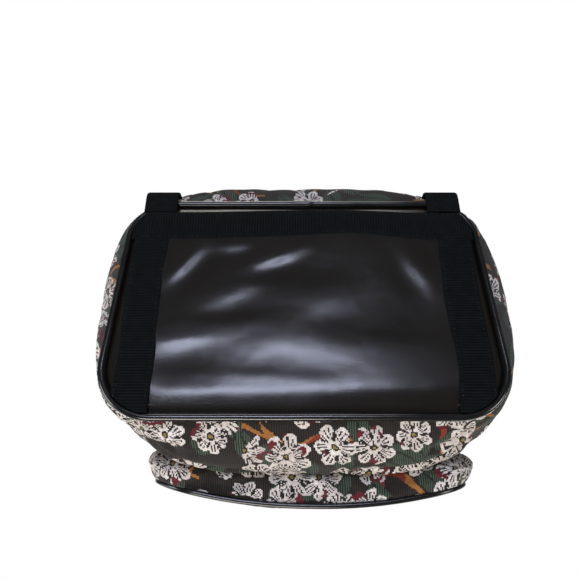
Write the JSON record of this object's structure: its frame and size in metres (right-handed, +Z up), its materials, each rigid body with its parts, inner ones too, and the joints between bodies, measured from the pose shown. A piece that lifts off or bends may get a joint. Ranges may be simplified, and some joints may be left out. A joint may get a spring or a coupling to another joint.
{
  "type": "backpack",
  "caption": "Soft upright backpack of flowered woven cloth on a piped black leather base, with webbing strips, a zipped front pocket, padded shoulder straps and a grab handle.",
  "frame": {"origin": "on the ground under the middle of the base panel", "axes": "+Z up, front pocket on -Y, shoulder straps on +Y, X across the bag"},
  "size_m": [0.3102, 0.3228, 0.437],
  "materials": {
    "tapestry_cloth": "jacquard weave",
    "base_leather": "smooth semi-gloss",
    "stiffener_board": "plain",
    "vinyl_piping": "glossy",
    "webbing": "ribbed",
    "pad_cloth": "plain weave",
    "zip_tape": "woven",
    "zip_chain": "moulded coil",
    "zip_metal": "aged",
    "moulded_plastic": "fine texture"
  },
  "bodies": {
    "bag": {"adjuster_loop_left": "webbing", "adjuster_loop_right": "webbing", "back_panel": "tapestry_cloth", "base_board": "stiffener_board", "base_cross_webbing": "webbing", "base_panel": "base_leather", "base_piping": "vinyl_piping", "base_strip_left": "webbing", "base_strip_right": "webbing", "front_panel": "tapestry_cloth", "grab_handle": "webbing", "main_zip_chain": "zip_chain", "main_zip_stops": "zip_metal", "main_zip_tape_back": "zip_tape", "main_zip_tape_front": "zip_tape", "pocket_face": "tapestry_cloth", "pocket_gusset": "tapestry_cloth", "pocket_piping": "vinyl_piping", "pocket_top_strip": "tapestry_cloth", "pocket_zip_chain": "zip_chain", "pocket_zip_stops": "zip_metal", "pocket_zip_tape_back": "zip_tape", "pocket_zip_tape_front": "zip_tape", "shoulder_pad_left": "pad_cloth", "shoulder_pad_right": "pad_cloth", "side_gusset_left": "tapestry_cloth", "side_gusset_right": "tapestry_cloth", "strap_adjuster_left": "moulded_plastic", "strap_adjuster_right": "moulded_plastic", "strap_webbing_left": "webbing", "strap_webbing_right": "webbing", "strap_yoke": "base_leather"},
    "main_slider": {"main_zip_slider": "zip_metal"},
    "main_pull": {"main_zip_pull": "zip_metal"},
    "pocket_slider": {"pocket_zip_slider": "zip_metal"},
    "pocket_pull": {"pocket_zip_pull": "zip_metal"}
  },
  "joints": [
    {"name": "main_slider_travel", "type": "slide", "parent": "bag", "child": "main_slider", "axis": [-1, 0, 0], "range_m": [0, 0.21]},
    {"name": "main_pull_swing", "type": "hinge", "parent": "main_slider", "child": "main_pull", "pos_m": [0.1052, 0.00267, 0.4021], "axis": [0, 1, 0], "range_deg": [0, 175]},
    {"name": "pocket_slider_travel", "type": "slide", "parent": "bag", "child": "pocket_slider", "axis": [-1, 0, 0], "range_m": [0, 0.098]},
    {"name": "pocket_pull_swing", "type": "hinge", "parent": "pocket_slider", "child": "pocket_pull", "pos_m": [0.0492, -0.08167, 0.2247], "axis": [0, 1, 0], "range_deg": [0, 175]}
  ]
}
